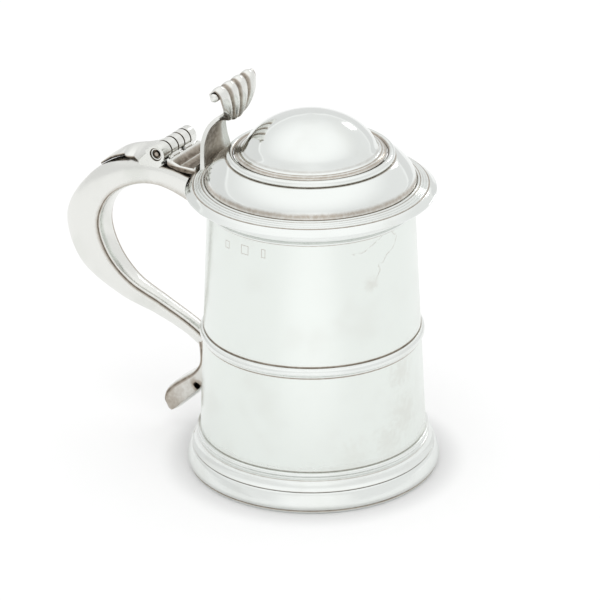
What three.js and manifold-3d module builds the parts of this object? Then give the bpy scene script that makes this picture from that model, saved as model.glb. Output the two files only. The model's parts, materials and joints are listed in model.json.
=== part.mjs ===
// A lidded tankard in old silver: a tapered drum on a moulded foot, a stepped and domed lid on a
// five-knuckle hinge, a fan-shaped thumbpiece, and a hollow scroll handle of D section.
//
// Millimetres, +Z up, the foot stands on z = 0. The handle points along -X and the hinge pin lies
// along Y. Outlines are written about the axis of the cup: [radius, height] for what is turned and
// [reach, height] for what lies in the plane of the handle, with reach measured towards -X.
import * as THREE from 'three';
import { mergeVertices } from 'three/addons/utils/BufferGeometryUtils.js';
import Module from 'manifold-3d';

const wasm = await Module();
wasm.setup();

// ---- Driving dimensions ----

const GAP = 0.3; // solder line or running clearance between two pieces
const RING_STEPS = 32;
const BAR_SIDES = 24;

const FOOT_RADIUS = 61.2;
const HANDLE_REACH = 138.1;
const AXIS_X = (HANDLE_REACH - FOOT_RADIUS) / 2; // puts the middle of the whole length at x = 0

const DRUM_BOTTOM = 19.3;
const DRUM_TOP = 140.6;
const DRUM_RADIUS = 54.6; // outside, at the foot
const DRUM_TAPER = 0.0471; // lost from the radius for each millimetre of height
const SHEET = 1.2; // thickness of the drum wall

const LID_SEAT = DRUM_TOP + GAP;
const LID_SHEET = 1.2;
const FLANGE_RADIUS = 59.4;

const HINGE_REACH = 76.5;
const HINGE_HEIGHT = 149;
const BARREL_RADIUS = 4.6;
const PIN_RADIUS = 1.25;
const KNUCKLE_LENGTHS = [7.6, 6.1, 5.6, 5.6, 5.6]; // from the near end of the pin to the far end
const RECESS_RADIUS = 3.25; // sunk into both ends of the barrel
const RECESS_DEPTH = 1.6;
const WASHER_HOLE_RADIUS = 2.35; // leaves a dark ring of recess showing round the pin
const WASHER_THICKNESS = 0.6;
const PIN_INSET = 0.8; // the pin stops this far short of the barrel's ends
const BARREL_LENGTH = KNUCKLE_LENGTHS.reduce((sum, length) => sum + length, 0);

const HANDLE_WALL = 1.2;
const TERMINAL_WIDTH = 15;
const VENT_RADIUS = 1.5;
const VENT_REACH = 61.1;
const VENT_HEIGHT = 26.8;
const VENT_DEPTH = 2.5;
const PLATE_HALF_WIDTH = 14; // the plate on the lid that carries the moving knuckles

// ---- Materials ----

const SILVER = { roughness: 0.24, metalness: 1 };

function silver(color) {
  return new THREE.MeshStandardMaterial({ ...SILVER, color });
}

const PALE = silver(0xdfe5df);
const WARM = silver(0xcfcdc2);
const TARNISHED = silver(0x9a948a);

// ---- Geometry helpers ----

// Merges shared vertices, drops empty triangles and turns every face outward.
function closed(geometry) {
  geometry.deleteAttribute('normal');
  geometry.deleteAttribute('uv');
  const merged = mergeVertices(geometry, 1e-4);
  const source = merged.index.array;
  const position = merged.attributes.position;
  const corner = [new THREE.Vector3(), new THREE.Vector3(), new THREE.Vector3()];
  const faces = [];
  let volume = 0;
  for (let i = 0; i < source.length; i += 3) {
    const face = [source[i], source[i + 1], source[i + 2]];
    if (new Set(face).size === 3) {
      face.forEach((vertex, k) => corner[k].fromBufferAttribute(position, vertex));
      volume += corner[0].dot(corner[1].cross(corner[2]));
      faces.push(face);
    }
  }
  if (volume < 0) {
    faces.forEach((face) => face.reverse());
  }
  merged.setIndex(faces.flat());
  merged.computeVertexNormals();
  return merged;
}

// A body of revolution. An outline that starts on the axis also ends there; any other closes up.
function turned(outline) {
  const ends = outline[0][0] === 0 ? outline : [...outline, outline[0]];
  const points = ends.map(([radius, height]) => new THREE.Vector2(radius, height));
  return closed(new THREE.LatheGeometry(points, RING_STEPS).rotateX(Math.PI / 2));
}

// A section extruded in steps and then laid along the piece: place(u, v, s) gives the position
// of section point (u, v) at s, which runs from 0 at one end to 1 at the other.
function swept(section, steps, place) {
  const shape = new THREE.Shape(section.map(([u, v]) => new THREE.Vector2(u, v)));
  const geometry = new THREE.ExtrudeGeometry(shape, { depth: 1, steps, bevelEnabled: false });
  const position = geometry.attributes.position;
  for (let i = 0; i < position.count; i += 1) {
    position.setXYZ(i, ...place(position.getX(i), position.getY(i), position.getZ(i)));
  }
  return closed(geometry);
}

// A flat outline in the plane of the handle, given thickness along Y.
function slab(outline, from, to) {
  const shape = new THREE.Shape(
    outline.map(([reach, height]) => new THREE.Vector2(-reach, height)),
  );
  const geometry = new THREE.ExtrudeGeometry(shape, { depth: to - from, bevelEnabled: false });
  geometry.rotateX(Math.PI / 2).translate(0, to, 0);
  return closed(geometry);
}

// A round bar or bore along Y at the hinge.
function barAtHinge(radius, from, to) {
  const bar = new THREE.CylinderGeometry(radius, radius, to - from, BAR_SIDES);
  bar.translate(-HINGE_REACH, (from + to) / 2, HINGE_HEIGHT);
  return closed(bar);
}

function solid(geometry) {
  const vertProperties = new Float32Array(geometry.attributes.position.array);
  const triVerts = new Uint32Array(geometry.index.array);
  return new wasm.Manifold(new wasm.Mesh({ numProp: 3, vertProperties, triVerts }));
}

function surface(manifold) {
  const mesh = manifold.getMesh();
  const geometry = new THREE.BufferGeometry();
  geometry.setAttribute('position', new THREE.BufferAttribute(mesh.vertProperties, 3));
  geometry.setIndex(new THREE.BufferAttribute(mesh.triVerts, 1));
  geometry.computeVertexNormals();
  return geometry;
}

function cut(geometry, ...tools) {
  return surface(tools.reduce((body, tool) => body.subtract(solid(tool)), solid(geometry)));
}

function joined(geometry, ...others) {
  return surface(others.reduce((body, other) => body.add(solid(other)), solid(geometry)));
}

// A smooth line in the plane of the handle, as a function of s from 0 to 1.
function rail(points) {
  const curve = new THREE.CatmullRomCurve3(points.map(([reach, height]) => (
    new THREE.Vector3(-reach, 0, height))), false, 'centripetal');
  return (s) => curve.getPoint(THREE.MathUtils.clamp(s, 0, 1));
}

// A smoothly changing size along a piece, from values at equal steps of s.
function graded(values) {
  const curve = new THREE.SplineCurve(values.map((value, i) => new THREE.Vector2(i, value)));
  return (s) => curve.getPoint(THREE.MathUtils.clamp(s, 0, 1)).y;
}

function arc(centreR, centreZ, radius, fromDegrees, toDegrees, steps) {
  return Array.from({ length: steps + 1 }, (_, i) => {
    const angle = THREE.MathUtils.degToRad(
      fromDegrees + ((toDegrees - fromDegrees) * i) / steps,
    );
    return [centreR + radius * Math.cos(angle), centreZ + radius * Math.sin(angle)];
  });
}

function drumRadius(height) {
  return DRUM_RADIUS - DRUM_TAPER * (height - DRUM_BOTTOM);
}

// ---- The drum, its floor and its mouldings ----

function bodyDrum() {
  return turned([
    [drumRadius(DRUM_BOTTOM), DRUM_BOTTOM],
    [drumRadius(DRUM_TOP), DRUM_TOP],
    [drumRadius(DRUM_TOP) - SHEET, DRUM_TOP],
    [drumRadius(DRUM_BOTTOM) - SHEET, DRUM_BOTTOM],
  ]);
}

// The floor lies just inside the drum and rises a little towards the middle.
function baseDisc() {
  const edge = drumRadius(DRUM_BOTTOM) - SHEET - GAP;
  const floor = DRUM_BOTTOM + 0.9;
  return turned([
    [0, floor + 1.6], [edge * 0.55, floor + 1.1], [edge, floor],
    [edge, floor + SHEET], [edge * 0.55, floor + 1.1 + SHEET], [0, floor + 1.6 + SHEET],
  ]);
}

// A half-round bead wire that covers the seam between drum and foot.
function footBead() {
  return turned([[52.4, 16.9], ...arc(55.2, 17.9, 1.0, -90, 90, 4), [52.4, 18.9]]);
}

// The spreading part of the foot: two fillets, then a hollow curve outwards.
function footSkirt() {
  return turned([
    [52.4, 16.6], [55.4, 16.6], [55.5, 15.9], [56.0, 15.6], [56.1, 14.9],
    [56.5, 13.4], [57.4, 11.9], [58.7, 10.7],
    [58.7, 10.4], [56.3, 10.4], [54.7, 12.4], [54.1, 15.1], [52.4, 15.1],
  ]);
}

// The rounded wire that the tankard stands on.
function footRim() {
  return turned([
    [58.6, 10.1], [59.3, 9.3], [60.1, 7.4], [60.8, 5.3], [FOOT_RADIUS, 3.3], [60.8, 1.8],
    [60.0, 0.9], [60.0, 0], [57.6, 0], [57.2, 4.0], [56.6, 8.0], [56.3, 10.1],
  ]);
}

// Half-round wire round the drum, with a narrow fillet on each side.
function girdle() {
  const [low, high] = [67.2, 72.2];
  const wall = (height, proud) => [drumRadius(height) + proud, height];
  return turned([
    wall(low, GAP), wall(low, 0.75), wall(low + 0.8, 0.8), wall(low + 1.5, 1.5),
    wall(69.7, 1.75), wall(high - 1.5, 1.5), wall(high - 0.8, 0.8), wall(high, 0.75),
    wall(high, GAP),
  ]);
}

// The moulded wire round the mouth.
function lipWire() {
  const wall = (height, proud) => [drumRadius(height) + proud, height];
  return turned([
    wall(133.4, GAP), wall(133.4, 0.7), wall(134.3, 1.1), wall(134.9, 0.8), wall(135.6, 1.5),
    wall(136.9, 2.3), wall(138.4, 2.4), wall(139.7, 1.7), wall(140.3, 0.9), wall(140.3, GAP),
  ]);
}

// ---- The lid ----

// Sloping flange with a rounded edge and three reeds inside it.
function lidFlange() {
  return turned([
    [58.6, LID_SEAT], [59.3, 141.2], [FLANGE_RADIUS, 141.8], [58.9, 142.5], [57.2, 143.6],
    [55.6, 144.4], [55.2, 144.2], [54.6, 144.9], [53.9, 144.7], [53.2, 145.5], [52.5, 145.3],
    [51.7, 146.2], [50.9, 146.1], [50.2, 146.7],
    [50.2, 145.2], [53.0, 143.9], [56.5, 142.4],
  ]);
}

// The flat seat that rests on the mouth, with the ring that keeps the lid central.
function lidBezel() {
  const ring = drumRadius(DRUM_TOP) - SHEET - 1.0;
  return turned([
    [51.8, LID_SEAT], [51.8, 142.0], [ring - 1.2, 142.0], [ring - 1.2, 135.6],
    [ring - 0.2, 135.6], [ring, 136.4], [ring, LID_SEAT],
  ]);
}

// Lower dome: an ogee sheet from the flange up to the step.
function lidLowerDome() {
  const top = [
    [49.9, 147.0], [49.5, 148.6], [48.0, 151.1], [45.6, 153.9], [42.9, 156.2], [40.2, 157.6],
    [38.1, 157.9],
  ];
  const under = top.map(([r, z]) => [r - LID_SHEET, z - LID_SHEET * 0.55]).reverse();
  return turned([...top, [38.1, 156.5], ...under.slice(1)]);
}

// The wire on the step between the two domes.
function lidStepWire() {
  return turned([
    [39.6, 158.2], [39.8, 158.9], [39.1, 160.1], [37.8, 160.8], [36.7, 160.7], [36.3, 160.4],
    [36.3, 158.2],
  ]);
}

// Upper dome: a hollow curve up from the step, then the round top.
function lidUpperDome() {
  const outside = [
    [36.0, 160.3], [35.1, 161.1], [33.6, 161.7], [32.3, 162.4], [31.3, 164.0], [29.3, 167.0],
    [25.7, 170.8], [21.0, 174.1], [14.9, 177.0], [8.0, 178.9], [0, 179.6],
  ];
  const inside = [
    [35.0, 159.0], [33.9, 160.2], [31.8, 161.0], [30.2, 163.4], [28.2, 166.2], [24.8, 169.8],
    [20.3, 172.9], [14.4, 175.7], [7.8, 177.5], [0, 178.3],
  ];
  return turned([...inside.reverse(), ...outside]);
}

// ---- The handle ----

// The two rails of the handle run from the mouth of the drum, over the shoulder and back to it:
// the edge where shell and strap meet, and the crest of the shell's back.
const seam = rail([
  [45, 114.8], [62.2, 124.6], [80.3, 129.8], [97.8, 126.4], [111, 116.6], [116.9, 101.5],
  [112.3, 86], [101, 73.6], [83.3, 65], [66, 56.6], [51, 46.5],
]);
const crest = rail([
  [45, 134], [61.5, 138.4], [80, 141.6], [101.5, 139], [123.2, 125.6], [138.1, 101.8],
  [131.2, 78], [108.2, 63.4], [86.8, 57.4], [69.2, 50.6], [54.5, 40.4],
]);
const handleHalfWidth = graded([8, 8, 7.9, 7.6, 7.4, 7.2, 6.8, 6.0, 5.1, 4.8, 4.8]);
const handleBoxiness = graded([0.5, 0.5, 0.45, 0.25, 0.1, 0, 0, 0, 0.1, 0.2, 0.2]);
const HANDLE_STEPS = 24;

// Position of a point of the D section: angle round the back, inset from its outer face.
function onHandle(angle, inset, s) {
  const foot = seam(s);
  const outwards = crest(s).sub(foot);
  const depth = outwards.length();
  outwards.normalize();
  const power = 1 - handleBoxiness(s);
  const across = Math.sign(Math.cos(angle)) * Math.abs(Math.cos(angle)) ** power;
  const up = Math.abs(Math.sin(angle)) ** power;
  foot.addScaledVector(outwards, (depth - inset) * up);
  return [foot.x, (handleHalfWidth(s) - inset) * across, foot.z];
}

const HALF_TURN = Array.from({ length: 9 }, (_, i) => (Math.PI * i) / 8);
const INNER = 0.5; // marks the inner face in a section whose outer face has radius 1

function handleShell() {
  const section = [
    ...HALF_TURN.map((angle) => [Math.cos(angle), Math.sin(angle)]),
    ...HALF_TURN.map((angle) => [INNER * Math.cos(angle), INNER * Math.sin(angle)]).reverse(),
  ];
  return swept(section, HANDLE_STEPS, (u, v, s) => {
    const inset = Math.hypot(u, v) > 0.75 ? 0 : HANDLE_WALL;
    return onHandle(Math.atan2(v, u), inset, s);
  });
}

// The same D section, filled and a little larger all round, to cut neighbours clear of it.
function handleClearance() {
  const section = HALF_TURN.map((angle) => [Math.cos(angle), Math.sin(angle)]);
  return swept([...section, [-1, -0.4], [1, -0.4]], HANDLE_STEPS, (u, v, s) => {
    if (v < -0.1) {
      const low = onHandle(0, -GAP, s);
      const inwards = seam(s).sub(crest(s)).normalize().multiplyScalar(3);
      return [low[0] + inwards.x, u * (handleHalfWidth(s) + GAP), low[2] + inwards.z];
    }
    return onHandle(Math.atan2(v, u), -GAP, s);
  });
}

// The convex strap that closes the mouth of the shell on the finger side.
function handleStrap() {
  const bulge = 2.0;
  const back = 0.6;
  const round = HALF_TURN.map((angle) => [Math.cos(angle), -Math.sin(angle)]);
  return swept([...round, [-1, 1], [1, 1]].reverse(), HANDLE_STEPS, (u, v, s) => {
    const point = seam(s);
    const outwards = crest(s).sub(point).normalize();
    point.addScaledVector(outwards, v > 0 ? v * back : v * bulge);
    return [point.x, u * (handleHalfWidth(s) - HANDLE_WALL - GAP), point.z];
  });
}

// The tail below the lower joint: it runs down the drum, widens and turns out to a rounded end.
function handleTerminal() {
  const back = rail([[62.6, 51], [61.2, 44], [60.8, 38.6], [63.6, 34.2], [69.6, 29.6], [75.6, 25],
    [79.8, 20.2], [81.2, 14.9], [79.4, 10.6]]);
  const inside = rail([[48, 51], [49, 42], [52, 36], [56.7, 28.5], [61.8, 22.3], [66.3, 17.8],
    [70.6, 13.8], [74.2, 10.7], [77, 9.1]]);
  const widest = TERMINAL_WIDTH / 2;
  const halfWidth = graded([4.8, 5.6, 6.8, 7.4, widest, widest, widest, 7.0, 6.0]);
  const section = [[-1, 0.1], [-0.9, 0], [0.9, 0], [1, 0.1], [1, 0.92], [0.9, 1], [-0.9, 1],
    [-1, 0.92]];
  return swept(section, 16, (u, v, s) => {
    const point = inside(s).lerp(back(s), v);
    return [point.x, u * halfWidth(s), point.z];
  });
}

// A narrow hole low on the near side that lets the hollow handle breathe.
function ventTool() {
  const drill = new THREE.CylinderGeometry(VENT_RADIUS, VENT_RADIUS, VENT_DEPTH * 2, 12);
  drill.translate(-VENT_REACH, -TERMINAL_WIDTH / 2, VENT_HEIGHT);
  return closed(drill);
}

// Everything on the drum that the handle is fitted round, a solder line larger.
function drumClearance() {
  const wall = (height, proud) => [drumRadius(height) + proud + GAP, height];
  return turned([
    [0, -5], [FOOT_RADIUS + GAP, -5], [FOOT_RADIUS + GAP, 5], [59.6, 10.4], [57.2, 13.2],
    [56.7, 19.1], wall(19.4, 0), wall(133.0, 0), wall(133.1, 1.1), wall(136, 2.5),
    wall(139, 2.5), wall(141, 1.5), [0, 141],
  ]);
}

// ---- The hinge ----

function knuckleSpan(index) {
  const before = KNUCKLE_LENGTHS.slice(0, index).reduce((sum, length) => sum + length, 0);
  const from = before - BARREL_LENGTH / 2;
  return [from + GAP / 2, from + KNUCKLE_LENGTHS[index] - GAP / 2];
}

// A tube round the pin with a web that reaches the plate it is soldered to. The outer knuckles
// are sunk at the end, for the washer and the end of the pin.
function knuckle(index, web) {
  const [from, to] = knuckleSpan(index);
  const tube = barAtHinge(BARREL_RADIUS, from, to);
  const bore = barAtHinge(PIN_RADIUS + GAP, from - 1, to + 1);
  const recesses = [];
  if (index === 0) {
    recesses.push(barAtHinge(RECESS_RADIUS, from - 1, from + RECESS_DEPTH));
  }
  if (index === KNUCKLE_LENGTHS.length - 1) {
    recesses.push(barAtHinge(RECESS_RADIUS, to - RECESS_DEPTH, to + 1));
  }
  return cut(joined(tube, slab(web, from, to)), bore, ...recesses);
}

const FIXED_WEB = [
  [73.6, 149], [73.4, 144.2], [75.2, 142.3], [81.1, 142.1], [81.1, 150.6], [77, 153.2],
];
const MOVING_WEB = [[71.1, 144.4], [71.1, 146.8], [74, 149.5], [77, 148], [75.6, 145.2]];

function hingePin() {
  const end = BARREL_LENGTH / 2 - PIN_INSET;
  return barAtHinge(PIN_RADIUS, -end, end);
}

// A washer that lies in the recess at the end of the barrel, round the pin.
function pinWasher(side) {
  const floor = BARREL_LENGTH / 2 - GAP / 2 - RECESS_DEPTH;
  const faces = [side * (floor + GAP), side * (floor + GAP + WASHER_THICKNESS)];
  const [from, to] = faces.sort((a, b) => a - b);
  const disc = barAtHinge(RECESS_RADIUS - GAP, from, to);
  return cut(disc, barAtHinge(WASHER_HOLE_RADIUS, from - 1, to + 1));
}

const LEAF_ARCH = 1.5; // power of the curve across the leaf: 1 is a ridge, 2 a round arch

// The leaf on the handle: a thick butt behind the barrel that thins to a point. Its top is arched
// across, most strongly near the butt.
function hingeLeaf() {
  const front = 81.4;
  const tip = 117.4;
  const top = rail([[front, 150.6], [88, 148.4], [94, 146.9], [101, 144.4], [109, 139.2],
    [tip, 132]]);
  const bottom = rail([[front, 142.2], [88, 142.1], [94, 141.6], [101, 139.8], [109, 136.2],
    [tip, 130.9]]);
  const drop = graded([3.4, 5.6, 4.2, 2.2, 0.9, 0]);
  const edgeDepth = graded([8, 1.4, 1.2, 1.1, 1.1, 0.8]);
  const halfWidth = graded([15.2, 13.6, 8.4, 6.4, 4.0, 0.5]);
  const across = [-1, -0.7, -0.35, 0, 0.35, 0.7, 1];
  const section = [...across.map((u) => [u, 1]).reverse(), [-1, 0.5], [-0.45, 0], [0.45, 0],
    [1, 0.5]];
  return swept(section, 12, (u, v, s) => {
    const above = top(s).z - drop(s) * Math.abs(u) ** LEAF_ARCH;
    const below = bottom(s).z;
    const edge = Math.max(above - edgeDepth(s), Math.min(below, above - 0.5));
    const height = v === 1 ? above : (v === 0 ? Math.min(below, above - 0.5) : edge);
    return [top(s).x, u * halfWidth(s), height];
  });
}

// The plate on the lid: a raised rib by the barrel, a hollow, and a tongue to the thumbpiece.
function lidPlate() {
  return slab([
    [70.8, 144.6], [70.8, 146.4], [70.0, 147.3], [68.9, 147.3], [67.6, 145.5], [65.2, 143.9],
    [55.0, 146.7], [55.0, 143.4], [57.5, 142.3], [64.5, 142.4], [69.8, 143.8],
  ].reverse(), -PLATE_HALF_WIDTH, PLATE_HALF_WIDTH);
}

// The outside of the lid, a solder line larger, to fit plate and thumbpiece to it.
function lidClearance() {
  return turned([
    [0, 130], [FLANGE_RADIUS + GAP, 130], [FLANGE_RADIUS + GAP, 142.2], [57.2, 144.1],
    [53.2, 146.1], [50.4, 147.3], [49.9, 148.8], [48.4, 151.4], [46.0, 154.2], [43.2, 156.6],
    [0, 160],
  ]);
}

// ---- The thumbpiece: a dished stem, a narrow neck and a fan of four lobes that rolls over ----

const LOBES = 4;
const LOBE_STEPS = 4;
// The round core that the top of the fan rolls over, which shows as a ball at each end.
const CORE_RADIUS = 2.2;
const CORE_LENGTH = 38;
const CORE_REACH = 42;
const CORE_HEIGHT = 185.1;
const CORE_SIDES = 20;

function thumbpiece() {
  const front = rail([
    [50.2, 143.5], [51.3, 151], [51.9, 157.8], [50.4, 164.4], [46.2, 168.4], [40.9, 170.9],
    [37.7, 175.6], [36.7, 182], [38.3, 187.2], [41.5, 189.3], [43.6, 188.6], [44.6, 187.3],
    [44.7, 186.2], [44.2, 185.5],
  ]);
  const back = rail([
    [52.8, 143.5], [53.4, 151], [54.0, 157.8], [52.3, 165.2], [48.0, 169.8], [43.5, 173.4],
    [40.2, 177], [39.2, 182.2], [39.9, 186.4], [41.4, 188], [42.6, 187.7], [43.4, 187],
    [43.7, 186.3], [43.7, 185.7],
  ]);
  const halfWidth = graded([
    13.6, 12.2, 10.4, 7.6, 5.4, 7.6, 12.0, 15.4, 16.6, 17.0, 17.0, 17.2, 17.4, 17.4,
  ]);
  const dish = graded([1.6, 1.9, 1.8, 1.2, 0.4, 0, 0, 0, 0, 0, 0, 0, 0, 0]);
  const hang = graded([0, 0, 0, 0, 0.4, 1.4, 0.6, 0, 0, 0, 0, 0, 0, 0]);
  const lobeHeight = graded([0, 0, 0, 0.1, 0.5, 0.8, 1.1, 1.2, 1.2, 1.1, 0.9, 0.5, 0.2, 0]);
  const count = LOBES * LOBE_STEPS;
  const face = Array.from({ length: count + 1 }, (_, i) => [(2 * i) / count - 1, 0]);
  const blade = swept([...face, [1, 1], [0.5, 1], [0, 1], [-0.5, 1], [-1, 1]], 32, (u, v, s) => {
    const point = v > 0.5 ? back(s) : front(s);
    const forward = front(s).sub(back(s)).normalize();
    point.addScaledVector(forward, -dish(s) * (1 - u * u));
    if (v < 0.5) {
      const lobe = Math.abs(Math.sin(((u + 1) / 2) * LOBES * Math.PI));
      point.addScaledVector(forward, lobeHeight(s) * (lobe - 1));
      point.x += hang(s) * (1 - u * u);
      point.z -= hang(s) * (1 - u * u);
    }
    return [point.x, u * halfWidth(s), point.z];
  });
  const core = new THREE.CylinderGeometry(CORE_RADIUS, CORE_RADIUS, CORE_LENGTH, CORE_SIDES);
  core.translate(-CORE_REACH, 0, CORE_HEIGHT);
  return joined(blade, closed(core));
}

// ---- Assembly ----

const model = new THREE.Group();
model.position.x = AXIS_X;

function addPiece(name, geometry, material) {
  const mesh = new THREE.Mesh(geometry, material.clone());
  mesh.name = name;
  model.add(mesh);
}

addPiece('body_drum', bodyDrum(), PALE);
addPiece('base_disc', baseDisc(), WARM);
addPiece('foot_bead', footBead(), PALE);
addPiece('foot_skirt', footSkirt(), PALE);
addPiece('foot_rim', footRim(), PALE);
addPiece('girdle_wire', girdle(), PALE);
addPiece('lip_wire', lipWire(), PALE);

const aroundDrum = drumClearance();
addPiece('handle_shell', cut(handleShell(), aroundDrum), WARM);
addPiece('handle_strap', cut(handleStrap(), aroundDrum), WARM);
addPiece('handle_terminal',
  cut(handleTerminal(), aroundDrum, handleClearance(), ventTool()), TARNISHED);

addPiece('hinge_leaf', hingeLeaf(), WARM);
['near', 'inner_near', 'middle', 'inner_far', 'far'].forEach((place, index) => {
  const web = index % 2 === 0 ? FIXED_WEB : MOVING_WEB;
  addPiece(`hinge_knuckle_${place}`, knuckle(index, web), WARM);
});
addPiece('hinge_pin', hingePin(), TARNISHED);
addPiece('pin_washer_near', pinWasher(-1), WARM);
addPiece('pin_washer_far', pinWasher(1), WARM);

addPiece('lid_bezel', lidBezel(), PALE);
addPiece('lid_flange', lidFlange(), PALE);
addPiece('lid_lower_dome', lidLowerDome(), PALE);
addPiece('lid_step_wire', lidStepWire(), PALE);
addPiece('lid_upper_dome', lidUpperDome(), PALE);

const aroundLid = lidClearance();
addPiece('lid_hinge_plate', cut(lidPlate(), aroundLid), TARNISHED);
addPiece('thumbpiece', cut(thumbpiece(), aroundLid), TARNISHED);

export default model;
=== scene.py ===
"""The looks of a lidded silver tankard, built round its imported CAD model.

Every CAD piece is stood for by one fine mesh of close to the same size, in the same place.
Outlines are in millimetres about the axis of the cup: (radius, height) for what is turned, and
(reach, height) for what lies in the plane of the handle, with reach measured towards the handle,
along -X.
"""

import json
import math

import bmesh
import bpy
from mathutils import Matrix, Vector


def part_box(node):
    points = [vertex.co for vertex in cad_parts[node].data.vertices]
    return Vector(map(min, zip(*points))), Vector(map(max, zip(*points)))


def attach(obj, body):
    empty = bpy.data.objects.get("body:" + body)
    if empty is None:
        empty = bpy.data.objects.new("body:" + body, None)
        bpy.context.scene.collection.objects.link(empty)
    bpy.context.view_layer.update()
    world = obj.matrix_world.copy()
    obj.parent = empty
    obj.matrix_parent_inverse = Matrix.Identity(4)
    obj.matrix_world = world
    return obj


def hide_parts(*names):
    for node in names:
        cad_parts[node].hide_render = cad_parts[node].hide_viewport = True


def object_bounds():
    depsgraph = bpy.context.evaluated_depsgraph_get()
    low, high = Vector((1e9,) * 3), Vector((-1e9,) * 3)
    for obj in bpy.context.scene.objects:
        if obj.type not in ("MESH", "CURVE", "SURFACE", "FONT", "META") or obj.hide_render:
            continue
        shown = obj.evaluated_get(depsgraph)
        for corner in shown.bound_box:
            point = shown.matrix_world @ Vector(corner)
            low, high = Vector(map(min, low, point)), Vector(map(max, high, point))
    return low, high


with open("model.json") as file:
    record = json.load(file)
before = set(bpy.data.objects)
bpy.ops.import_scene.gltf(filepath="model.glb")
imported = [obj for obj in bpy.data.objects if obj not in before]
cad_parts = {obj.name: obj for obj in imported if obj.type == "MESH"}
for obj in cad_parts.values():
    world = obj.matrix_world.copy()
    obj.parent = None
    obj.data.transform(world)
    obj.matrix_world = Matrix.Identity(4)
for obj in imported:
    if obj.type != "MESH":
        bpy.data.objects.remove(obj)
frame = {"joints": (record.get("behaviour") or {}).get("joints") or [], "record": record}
cad_low, cad_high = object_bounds()

MM = 0.001
RECORD = frame["record"]
BODY_OF = {node: body for body, nodes in RECORD["behaviour"]["bodies"].items() for node in nodes}
JOINT = frame["joints"][0]


def middle(node, axis):
    low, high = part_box(node)
    return (low[axis] + high[axis]) / 2 / MM


def top_of(node):
    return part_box(node)[1].z / MM


def foot_of(node):
    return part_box(node)[0].z / MM


def across_of(node):
    """Where the node starts and ends along Y."""
    low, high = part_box(node)
    return low.y / MM, high.y / MM


def radius_of(node):
    start, end = across_of(node)
    return (end - start) / 2


# ---- Driving dimensions, from the frame where it has them ----

AXIS_X = middle("body_drum", 0)
DRUM_BOTTOM = foot_of("body_drum")
DRUM_TOP = top_of("body_drum")
DRUM_RADIUS = radius_of("body_drum")
DRUM_TAPER = 0.0471
SHEET = 1.2
FOOT_RADIUS = radius_of("foot_rim")
HINGE_REACH = AXIS_X - JOINT["pos_m"][0] / MM
HINGE_HEIGHT = JOINT["pos_m"][2] / MM
HINGE = (HINGE_REACH, HINGE_HEIGHT)
BARREL_RADIUS = 4.6
PIN_RADIUS = 1.25
BORE_RADIUS = 1.55
RECESS_RADIUS = 3.25
RECESS_DEPTH = 1.6
WASHER_HOLE_RADIUS = 2.35
HANDLE_WALL = 1.2
SOLDER = 0.3
RING_STEPS = 224
CUTTER_STEPS = 96
TURN = 2 * math.pi
TINY = 1e-6


def drum_radius(height):
    return DRUM_RADIUS - DRUM_TAPER * (height - DRUM_BOTTOM)


# ---- Lines ----


def spline(points, s):
    """A smooth line through points, s from 0 to 1, with centripetal spacing."""
    spans = len(points) - 1
    place = min(max(s, 0), 1) * spans
    i = min(int(place), spans - 1)
    t = place - i
    p1, p2 = Vector(points[i]), Vector(points[i + 1])
    p0 = Vector(points[i - 1]) if i > 0 else 2 * p1 - p2
    p3 = Vector(points[i + 2]) if i + 2 <= spans else 2 * p2 - p1
    d0, d1, d2 = (max((b - a).length ** 0.5, 1e-4) for a, b in ((p0, p1), (p1, p2), (p2, p3)))
    m1 = ((p1 - p0) / d0 - (p2 - p0) / (d0 + d1) + (p2 - p1) / d1) * d1
    m2 = ((p2 - p1) / d1 - (p3 - p1) / (d1 + d2) + (p3 - p2) / d2) * d1
    c2 = 3 * (p2 - p1) - 2 * m1 - m2
    c3 = 2 * (p1 - p2) + m1 + m2
    return p1 + t * (m1 + t * (c2 + t * c3))


def graded(values, s):
    """A smoothly changing size, from values at equal steps of s."""
    return spline([(i, value) for i, value in enumerate(values)], s)[1]


def curve(points, per_span=6):
    count = per_span * (len(points) - 1)
    return [tuple(spline(points, i / count)) for i in range(count + 1)]


def arc(centre, radius, start, end, steps=8):
    turns = [math.radians(start + (end - start) * i / steps) for i in range(steps + 1)]
    return [(centre[0] + radius * math.cos(a), centre[1] + radius * math.sin(a)) for a in turns]


def reeds(start, end, count, height, steps=8):
    """Half-round beads side by side along a sloping line, with a sharp groove between each."""
    start, end = Vector(start), Vector(end)
    along = end - start
    outward = Vector((-along.y, along.x)).normalized()
    if outward.y < 0:
        outward.negate()
    line = []
    for i in range(count * steps + 1):
        share = i / (count * steps)
        bulge = height * abs(math.sin(math.pi * share * count)) ** 0.8
        line.append(tuple(start + along * share + outward * bulge))
    return line


MOST_OF_A_SIDE = 0.4  # how much of a side the rounding of one corner may take


def softened(outline, radius=0.18, least=0.35):
    """Rounds each corner of a closed outline that turns by more than least radians."""
    result = []
    for i, point in enumerate(outline):
        here = Vector(point)
        before = Vector(outline[i - 1]) - here
        after = Vector(outline[(i + 1) % len(outline)]) - here
        if before.length < TINY:
            continue
        on_axis = abs(here.x) < TINY
        turned_by = math.pi - before.angle(after, math.pi) if after.length > TINY else 0
        if on_axis or turned_by < least:
            result.append(tuple(here))
            continue
        a = here + before.normalized() * min(radius, before.length * MOST_OF_A_SIDE)
        b = here + after.normalized() * min(radius, after.length * MOST_OF_A_SIDE)
        for t in (0, 1 / 3, 2 / 3, 1):
            result.append(tuple(a * (1 - t) ** 2 + here * 2 * t * (1 - t) + b * t * t))
    return result


# ---- Meshes ----


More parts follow.
